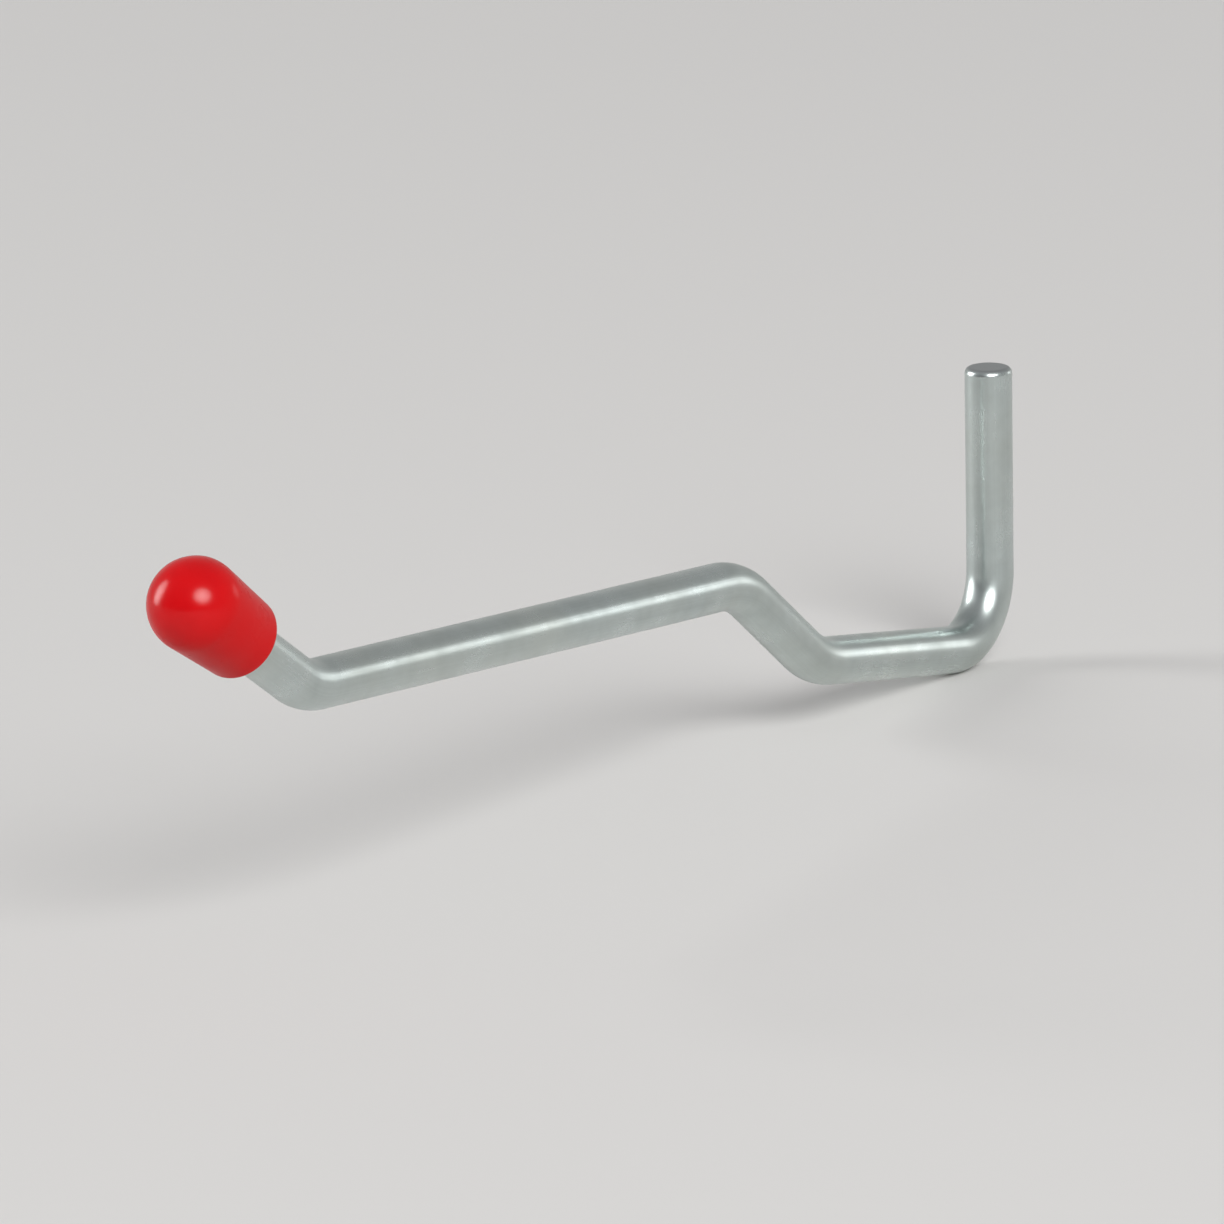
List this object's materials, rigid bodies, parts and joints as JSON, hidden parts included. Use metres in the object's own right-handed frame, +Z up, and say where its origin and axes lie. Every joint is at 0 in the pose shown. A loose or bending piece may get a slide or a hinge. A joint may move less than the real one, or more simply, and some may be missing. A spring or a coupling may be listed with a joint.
{
  "type": "pegboard hook",
  "caption": "Bent zinc-plated wire hook for a perforated panel, with an upright tail, a stepped rising arm and an upturned tip in a soft red cap.",
  "frame": {"origin": "the wire's centreline where the shank crosses the panel's front face", "axes": "+Z up, -Y out of the panel along the arm, +Y into the panel, +X to the right seen from in front"},
  "size_m": [0.006, 0.0964, 0.0274],
  "materials": {
    "zinc_plate": "bright zinc plate over drawn steel wire",
    "red_vinyl": "glossy soft vinyl"
  },
  "bodies": {
    "root": {"wire_hook": "zinc_plate", "tip_cap": "red_vinyl"}
  },
  "joints": []
}
